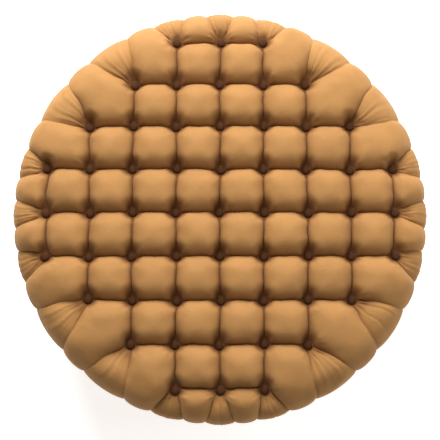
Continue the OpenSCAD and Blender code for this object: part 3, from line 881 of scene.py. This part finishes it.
def grouped_material(name, group, values, relief, roughness, metallic=0.0):
    """A material whose colour and relief come from a shared group."""
    if name in bpy.data.materials:
        return bpy.data.materials[name]
    material, nodes, links, shader = new_material(name)
    pattern = nodes.new("ShaderNodeGroup")
    pattern.node_tree = group
    for socket, value in values.items():
        pattern.inputs[socket].default_value = value
    bump = nodes.new("ShaderNodeBump")
    bump.inputs["Strength"].default_value = relief
    bump.inputs["Distance"].default_value = 0.0006
    links.new(pattern.outputs["Colour"], shader.inputs["Base Color"])
    links.new(pattern.outputs["Height"], bump.inputs["Height"])
    links.new(bump.outputs["Normal"], shader.inputs["Normal"])
    shader.inputs["Roughness"].default_value = roughness
    shader.inputs["Metallic"].default_value = metallic
    return material


def streaked(name, light, dark, scale, stretch, relief, roughness, metallic=0.0):
    """A material with stretched grain."""
    values = {"Light": (*light, 1), "Dark": (*dark, 1), "Scale": scale, "Stretch": stretch}
    return grouped_material(name, streaks_group(), values, relief, roughness, metallic)


def woven(name, light, dark, scale, relief):
    """A woven cloth."""
    values = {"Light": (*light, 1), "Dark": (*dark, 1), "Scale": scale}
    material = grouped_material(name, weave_group(), values, relief, 0.9)
    material.node_tree.nodes["Principled BSDF"].inputs["Sheen Weight"].default_value = 0.15
    return material


def plywood():
    return streaked("Plywood", (0.62, 0.42, 0.22), (0.46, 0.28, 0.13), 9, (1, 14, 30), 0.25, 0.6)


def pine():
    return streaked("Pine", (0.66, 0.44, 0.22), (0.48, 0.27, 0.11), 22, (8, 8, 1), 0.3, 0.55)


def hardboard():
    return streaked("Hardboard", (0.17, 0.085, 0.038), (0.11, 0.05, 0.02), 260, (1, 1, 1), 0.3, 0.5)


def lining():
    return woven("Lining cloth", (0.055, 0.047, 0.040), (0.022, 0.019, 0.016), 170, 0.7)


def dust_cloth():
    return streaked("Dust cloth", (0.016, 0.016, 0.016), (0.006, 0.006, 0.006), 420, (1, 0.3, 1), 0.6, 0.85)


def twine():
    return streaked("Twine", (0.70, 0.63, 0.50), (0.45, 0.38, 0.27), 500, (1, 1, 0.3), 0.6, 0.7)


def nickel():
    return streaked("Nickel plate", (0.46, 0.44, 0.40), (0.36, 0.34, 0.31), 160, (1, 12, 1), 0.12, 0.28, 1.0)


def zinc():
    return streaked("Zinc plate", (0.52, 0.53, 0.55), (0.38, 0.40, 0.42), 90, (1, 1, 1), 0.15, 0.36, 1.0)


def plastic():
    return streaked("Black plastic", (0.014, 0.014, 0.014), (0.008, 0.008, 0.008), 900, (1, 1, 1), 0.35, 0.5)


def rubber():
    return streaked("Black rubber", (0.020, 0.020, 0.020), (0.012, 0.012, 0.012), 500, (1, 1, 1), 0.3, 0.8)


FINISHES = (
    (plywood, ("bottom_panel", "top_ring", "lid_board")),
    (pine, ("frame_post", "hinge_block")),
    (hardboard, ("outer_skin", "inner_liner")),
    (twine, ("base_button_twine", "lid_button_twine")),
    (zinc, ("cover_staples", "foot_screws", "hinge_base_screws", "hinge_lid_screws", "lid_twine_staples",
            "stay_base_screws", "stay_lid_screws")),
    (nickel, ("hinge_left", "hinge_right", "stay_left", "stay_right", "stay_base_rivets", "stay_lid_rivets")),
    (plastic, ("foot_1", "foot_2", "foot_3", "foot_4", "foot_5", "foot_6")),
    (rubber, ("bumper",)),
)


# ---- Operators ----


class OTTOMAN_OT_lid_cushion(bpy.types.Operator):
    """Builds the lid's tufted cover"""

    bl_idname = "ottoman.lid_cushion"
    bl_label = "Lid cushion"

    def execute(self, context):
        cloth = LidCloth(sizes().crease_depth, sizes().pleat_depth)
        mesh = lid_shell("lid_cushion", 22, 56, cloth)
        piece = new_object("lid_cushion", mesh, velvet())
        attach(piece, "lid")
        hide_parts("lid_cover", "lid_wadding", "lid_foam")
        return {"FINISHED"}


class OTTOMAN_OT_base_cushion(bpy.types.Operator):
    """Builds the base's padded and pleated side"""

    bl_idname = "ottoman.base_cushion"
    bl_label = "Base cushion"

    def execute(self, context):
        mesh = base_shell("base_cushion", 14, 16, 30, BaseCloth(sizes().side_depth))
        piece = new_object("base_cushion", mesh, velvet())
        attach(piece, "base")
        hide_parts("base_cover", "base_foam")
        return {"FINISHED"}


class OTTOMAN_OT_buttons(bpy.types.Operator):
    """Builds the covered buttons of the lid and the base"""

    bl_idname = "ottoman.buttons"
    bl_label = "Buttons"

    def execute(self, context):
        top = [Matrix.Translation((x, y, SEAT_Z)) for x, y in button_places()]
        outward = Matrix.Rotation(math.pi / 2, 4, "Y")
        side = [Matrix.Rotation(a, 4, "Z") @ Matrix.Translation((SIDE_SEAT_R, 0, SIDE_Z)) @ outward
                for a in SIDE_ANGLE]
        for name, places, body in (("lid_buttons", top, "lid"), ("base_buttons", side, "base")):
            piece = new_object("covered_" + name, button_mesh("covered_" + name, places), button_velvet())
            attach(piece, body)
            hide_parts(name)
        return {"FINISHED"}


class OTTOMAN_OT_linings(bpy.types.Operator):
    """Builds the linings of the well and the lid, and the dust cover"""

    bl_idname = "ottoman.linings"
    bl_label = "Linings"

    def execute(self, context):
        leaf_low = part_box("hinge_left_lid_leaf")[0]
        leaf_side = max(abs(c.x) for n in ("hinge_left_lid_leaf", "hinge_right_lid_leaf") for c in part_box(n))
        notch = (leaf_side + 0.008, leaf_low.y - 0.004)
        made = (
            ("well_wall", "wall_lining", wall_cloth("well_wall", "wall_lining", "floor_lining"), "base",
             lining(), "lining_cloth"),
            ("well_floor", "floor_lining", disc_cloth("well_floor", "floor_lining", True), "base", lining(),
             "lining_cloth"),
            ("lid_underside", "lid_lining", disc_cloth("lid_underside", "lid_lining", False, notch), "lid",
             lining(), "lining_cloth"),
            ("dust_sheet", "dust_cover", disc_cloth("dust_sheet", "dust_cover", False), "base", dust_cloth(),
             "dust_cloth"),
        )
        for name, node, mesh, body, material, slot in made:
            piece = new_object(name, mesh, material)
            mesh.set_sharp_from_angle(angle=math.radians(40))
            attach(piece, body)
            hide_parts(node)
        return {"FINISHED"}


class OTTOMAN_OT_frame_finishes(bpy.types.Operator):
    """Gives every part of the frame its wood, metal, plastic, rubber or twine"""

    bl_idname = "ottoman.frame_finishes"
    bl_label = "Frame finishes"

    def execute(self, context):
        for make, starts in FINISHES:
            for name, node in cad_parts.items():
                if name.startswith(starts):
                    node.data.materials.clear()
                    node.data.materials.append(make())
        return {"FINISHED"}


class OTTOMAN_OT_stage(bpy.types.Operator):
    """Sets the floor, the lights and the camera"""

    bl_idname = "ottoman.stage"
    bl_label = "Stage"

    def execute(self, context):
        scene = context.scene
        scene.view_settings.view_transform = "Standard"
        world = bpy.data.worlds.new("Studio")
        scene.world = world
        world.use_nodes = True
        world.node_tree.nodes["Background"].inputs["Color"].default_value = (1, 0.98, 0.95, 1)
        world.node_tree.nodes["Background"].inputs["Strength"].default_value = 0.24
        bm = bmesh.new()
        bmesh.ops.create_grid(bm, x_segments=1, y_segments=1, size=6)
        material, _, _, shader = new_material("Floor")
        shader.inputs["Base Color"].default_value = (0.93, 0.93, 0.93, 1)
        shader.inputs["Roughness"].default_value = 0.9
        shader.inputs["Emission Color"].default_value = (1, 1, 1, 1)
        shader.inputs["Emission Strength"].default_value = 0.70
        floor = new_object("floor", mesh_of(bm, "floor"), material, smooth=False)
        lamp("key", (-0.5, 2.9, 2.35), (0, 0, 0.40), 2.2, 225)
        lamp("fill", (2.4, 0.4, 2.0), (0, 0, 0.35), 1.8, 24)
        lens = bpy.data.cameras.new("camera")
        lens.lens = 84.3
        lens.sensor_width = 36
        camera = bpy.data.objects.new("camera", lens)
        scene.collection.objects.link(camera)
        aim = Vector((0, -0.017, 0.39))
        tilt = math.radians(7)
        reach = 2.45
        camera.location = aim + Vector((0, -math.sin(tilt), math.cos(tilt))) * reach
        camera.rotation_euler = (aim - camera.location).to_track_quat("-Z", "Y").to_euler()
        scene.camera = camera
        return {"FINISHED"}


def lamp(name, place, aim, size, power):
    """A square soft light that looks at a point."""
    light = bpy.data.lights.new(name, "AREA")
    light.size = size
    light.energy = power
    holder = bpy.data.objects.new(name, light)
    bpy.context.scene.collection.objects.link(holder)
    holder.location = place
    holder.rotation_euler = (Vector(aim) - Vector(place)).to_track_quat("-Z", "Y").to_euler()
    return holder


STEPS = (
    OTTOMAN_OT_lid_cushion,
    OTTOMAN_OT_base_cushion,
    OTTOMAN_OT_buttons,
    OTTOMAN_OT_linings,
    OTTOMAN_OT_frame_finishes,
    OTTOMAN_OT_stage,
)


class OTTOMAN_PT_panel(bpy.types.Panel):
    """Lists the ottoman's sizes, colours and steps"""

    bl_idname = "OTTOMAN_PT_panel"
    bl_label = "Ottoman"
    bl_space_type = "VIEW_3D"
    bl_region_type = "UI"
    bl_category = "Ottoman"

    def draw(self, context):
        for settings in (context.scene.ottoman_sizes, context.scene.ottoman_colours):
            for name in settings.bl_rna.properties.keys():
                if name not in ("rna_type", "name"):
                    self.layout.prop(settings, name)
        for step in STEPS:
            self.layout.operator(step.bl_idname)


CLASSES = (OttomanSizes, OttomanColours) + STEPS + (OTTOMAN_PT_panel,)


def register():
    for c in CLASSES:
        bpy.utils.register_class(c)
    bpy.types.Scene.ottoman_sizes = bpy.props.PointerProperty(type=OttomanSizes)
    bpy.types.Scene.ottoman_colours = bpy.props.PointerProperty(type=OttomanColours)


def unregister():
    del bpy.types.Scene.ottoman_colours
    del bpy.types.Scene.ottoman_sizes
    for c in reversed(CLASSES):
        bpy.utils.unregister_class(c)


def run_step(step):
    """Runs an operator by its identifier."""
    group, name = step.bl_idname.split(".")
    getattr(getattr(bpy.ops, group), name)()


def main():
    register()
    for step in STEPS:
        run_step(step)


if __name__ == "__main__":
    main()
